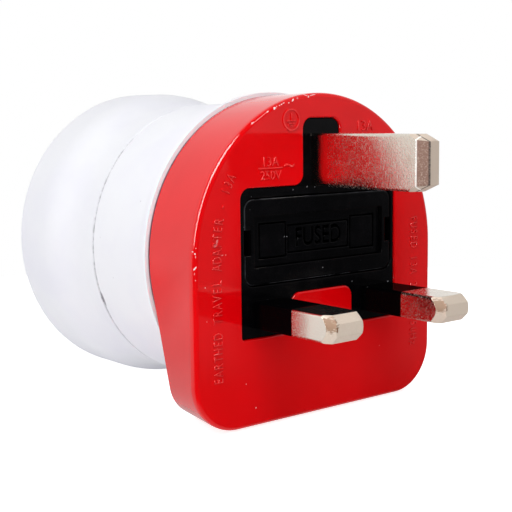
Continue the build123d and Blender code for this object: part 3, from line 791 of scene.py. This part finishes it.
def addCutWord(bm, look):
    # the tube's plate as a flat curve, with the letters as its holes
    tube = inner(look["tube"], look["line"])
    holder = newWord(look["word"], look["wordCap"])
    bpy.ops.object.select_all(action="DESELECT")
    bpy.context.view_layer.objects.active = holder
    holder.select_set(True)
    bpy.ops.object.convert(target="CURVE")
    rim = holder.data.splines.new("POLY")
    rim.points.add(3)
    rim.use_cyclic_u = True
    centre = (tube[2] + tube[3]) / 2
    bold = look["wordBold"] * mm  # takes as much off the rim, which is drawn larger by that
    half = (tube[1] / look["wordWidth"] * mm + bold, (tube[3] - centre) * mm + bold)
    for point, (sideX, sideZ) in zip(rim.points, ((-1, -1), (1, -1), (1, 1), (-1, 1))):
        point.co = (sideX * half[0], sideZ * half[1], 0, 1)
    holder.data.dimensions = "2D"
    holder.data.fill_mode = "BOTH"
    holder.data.offset = -bold
    holder.data.extrude = (look["rise"] + look["sunk"]) / 2 * mm
    depth = look["floor"] + (look["sunk"] - look["rise"]) / 2
    addCurve(bm, holder, onFace(0, centre, depth) @ faceTurn @ Matrix.Diagonal((look["wordWidth"], 1, 1, 1)))


def makeFuseMarks(look):
    bm = bmesh.new()
    x0, x1, z0, z1 = look["cap"]
    addGroovedPlate(bm, look, [look["cap"], (-x1, -x0, z0, z1), look["tube"]])
    keep(bm, "fuseSign", "fuse_holder", "black_plastic")
    bm = bmesh.new()
    addCutWord(bm, look)
    keep(bm, "fuseWord", "fuse_holder", "black_plastic")


makeFuseMarks(fuseMarks)
print("fuse marks made")


# coil spring above the shutter: round wire

springLook = {
    "wire": 0.4,
    "turns": 5,
    "steps": 20,
    "sides": 10,
    "travel": 6.0,
}


def makeSpring(look):
    low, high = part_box("shutter_spring")
    middle = (Vector(low) + Vector(high)) / 2
    height = high[2] - low[2]
    wire = look["wire"] * mm
    reach = (high[0] - low[0] - wire) / 2
    steps = look["turns"] * look["steps"]
    bm = bmesh.new()
    start = Matrix.Translation((middle.x + reach, middle.y, low[2] + wire / 2)) @ faceTurn
    bmesh.ops.create_circle(bm, cap_ends=True, segments=look["sides"], radius=wire / 2, matrix=start)
    bmesh.ops.spin(bm, geom=bm.verts[:] + bm.edges[:] + bm.faces[:], cent=middle, axis=(0, 0, 1),
                   dvec=(0, 0, (height - wire) / steps), angle=2 * math.pi * look["turns"], steps=steps)
    spring = keep(bm, "coilSpring", "housing", "spring_steel")
    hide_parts("shutter_spring")
    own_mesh(spring)


makeSpring(springLook)
print("spring made")


# pale floor, in metres

floorLook = {
    "radius": 0.16,
    "depth": 0.014,  # its middle lies that far behind the plug face
    "sides": 96,
    "colour": colour(0.85, 0.85, 0.86),
    "glow": 0.2,
    "seenGlow": 0.63,
}


def makeFloor(look):
    bm = bmesh.new()
    bmesh.ops.create_circle(bm, cap_ends=True, segments=look["sides"], radius=look["radius"],
                            matrix=Matrix.Translation((0, look["depth"], cadBox[0].z)))
    mesh = bpy.data.meshes.new("floor")
    bm.to_mesh(mesh)
    bm.free()
    floor = bpy.data.objects.new("floor", mesh)
    bpy.context.scene.collection.objects.link(floor)
    material = bpy.data.materials.new("paleFloor")
    material.use_nodes = True
    tree = material.node_tree
    tree.nodes.clear()
    start = Sock(tree)
    paper = start.make("ShaderNodeBsdfDiffuse", None, {"Color": look["colour"]})
    seen = start.make("ShaderNodeLightPath", None, None, "Is Camera Ray")
    glow = start.make("ShaderNodeEmission", None, {"Strength": look["glow"] + seen * look["seenGlow"]})
    both = start.make("ShaderNodeAddShader", None, {0: paper, 1: glow})
    start.make("ShaderNodeOutputMaterial", None, {"Surface": both})
    mesh.materials.append(material)
    floor.visible_glossy = False  # the object mirrors the room, not the paper


# sky: white to the camera, soft light from all round, and a room in what shines

skyLook = {
    "front": 0.35,
    "back": 0.55,
    "frontToBack": (-0.6, 0.4),
    # the rest is mirrored only: ranges are parts of a direction of length 1, turns are in degrees
    "roomDark": 0.06,
    "wallHigh": 0.45,
    "wallLow": 0.22,
    "wallEdge": -0.048,
    "wallEdgeFade": (-0.008, 0.008),
    "wallStart": (28.0, 34.0),
    "wallFoot": (-0.27, -0.2),
    # dark opening in the lower wall
    "gapStart": 38.3,
    "gapEnd": 46.8,
    "gapFade": (-0.6, 0.6),
    "gapFoot": (-0.27, -0.17),
    "gapDark": 0.95,
    # paper behind and below the object, in dusk towards the floor and on the right
    "paperBehind": (0.1, 0.25),
    "paperBelow": (-0.75, -0.6),
    "paperBelowLevel": 0.5,
    "duskLow": (-0.32, -0.1),
    "duskLowDark": 0.36,
    "duskRight": (-0.45, -0.1),
    "duskRightTop": (-0.1, 0.1),
    "duskRightDark": 0.5,
    # bright strip high on the left
    "stripLevel": 18.0,
    "stripFront": (-0.3, -0.26),
    "stripBack": (-0.02, 0.02),
    "stripFoot": (0.05, 0.15),
    "stripSide": (-0.3, -0.2),
}


def mirroredRoom(look, wayX, wayY, wayZ):
    turn = wayX.maths("ARCTAN2", wayX, 0.0 - wayY) * (180 / math.pi)  # from ahead of the pins, to the right
    low = wayZ.fall(*look["wallEdgeFade"], look["wallEdge"])
    gap = turn.rise(*look["gapFade"], look["gapStart"]) * turn.fall(*look["gapFade"], look["gapEnd"])
    gap = gap * low * wayZ.rise(*look["gapFoot"])
    wall = look["wallHigh"] + low * (look["wallLow"] - look["wallHigh"])
    wall = wall * (1.0 - gap * look["gapDark"]) * turn.rise(*look["wallStart"]) * wayZ.rise(*look["wallFoot"])
    room = wall | look["roomDark"]
    dusk = wayX.rise(*look["duskRight"]) * wayZ.fall(*look["duskRightTop"]) * look["duskRightDark"]
    dusk = wayZ.fall(*look["duskLow"]) * look["duskLowDark"] | dusk
    paper = wayY.rise(*look["paperBehind"]) * (1.0 - dusk)
    paper = paper | wayZ.fall(*look["paperBelow"]) * look["paperBelowLevel"]
    strip = wayY.rise(*look["stripFront"]) * wayY.fall(*look["stripBack"])
    strip = strip * wayZ.rise(*look["stripFoot"]) * wayX.fall(*look["stripSide"])
    return room + paper * (1.0 - room) + strip * look["stripLevel"]


def makeSky(look):
    world = bpy.data.worlds.new("studio")
    bpy.context.scene.world = world
    world.use_nodes = True
    tree = world.node_tree
    tree.nodes.clear()
    start = Sock(tree)
    way = start.make("ShaderNodeTexCoord", None, None, "Generated")
    wayX = way.make("ShaderNodeSeparateXYZ", None, {0: way}, "X")
    wayY, wayZ = wayX.other("Y"), wayX.other("Z")
    glossy = mirroredRoom(look, wayX, wayY, wayZ)
    path = start.make("ShaderNodeLightPath", None, None, "Is Camera Ray")
    seen = path | path.other("Is Transmission Ray")
    mirrored = path.other("Is Glossy Ray")
    level = look["front"] + wayY.rise(*look["frontToBack"]) * (look["back"] - look["front"])
    level = level + mirrored * (glossy - level)
    level = level + seen * (1.0 - level)
    sky = start.make("ShaderNodeBackground", None, {"Color": colour(1, 1, 1), "Strength": level})
    start.make("ShaderNodeOutputWorld", None, {"Surface": sky})


# round lamps, in metres and watts: place, what it points at, size, power

lampLooks = {
    "keyLamp": ((-0.125, -0.095, 0.16), (0, 0.01, 0), 0.25, 0.27),
    "sideLamp": ((-0.40, 0.05, 0.0), (0, 0.02, 0), 0.4, 0.41),
    "frontLamp": ((-0.02, -0.07, 0.12), (0, 0.0, 0.01), 0.1, 0.056),
}


def addLamp(name, place, target, size, power):
    lamp = bpy.data.lights.new(name, "AREA")
    lamp.shape = "DISK"
    lamp.size = size
    lamp.energy = power
    holder = bpy.data.objects.new(name, lamp)
    bpy.context.scene.collection.objects.link(holder)
    holder.location = place
    holder.rotation_euler = (Vector(target) - Vector(place)).to_track_quat("-Z", "Y").to_euler()
    holder.visible_glossy = False  # what shines mirrors the sky instead
    holder.visible_camera = False


makeFloor(floorLook)
makeSky(skyLook)
for lampName, lampLook in lampLooks.items():
    addLamp(lampName, *lampLook)
print("stage set")


# camera at the photograph's angle: turn, rise and roll in degrees, the rest in millimetres

cameraLook = {
    "turn": -39.339,
    "rise": 7.282,
    "roll": -0.652,
    "place": (-113.814, -122.681, 21.076),
    "lens": 76.95,
    "sensor": 36.0,
    "nearest": 5.0,
}


def makeCamera(look):
    camera = bpy.data.cameras.new("photoView")
    camera.sensor_width = look["sensor"]
    camera.lens = look["lens"]
    camera.clip_start = look["nearest"] * mm
    turn, rise, roll = (math.radians(look[key]) for key in ("turn", "rise", "roll"))
    right = Vector((math.cos(turn), math.sin(turn), 0))
    back = Vector((math.sin(turn) * math.cos(rise), -math.cos(turn) * math.cos(rise), math.sin(rise)))
    over = back.cross(right)
    rolledRight = math.cos(roll) * right + math.sin(roll) * over
    rolledOver = math.cos(roll) * over - math.sin(roll) * right
    holder = bpy.data.objects.new("photoView", camera)
    bpy.context.scene.collection.objects.link(holder)
    axes = Matrix((rolledRight, rolledOver, back)).transposed().to_4x4()
    holder.matrix_world = Matrix.Translation([v * mm for v in look["place"]]) @ axes
    bpy.context.scene.camera = holder


makeCamera(cameraLook)
bpy.context.scene.view_settings.view_transform = "Standard"
print("camera placed")
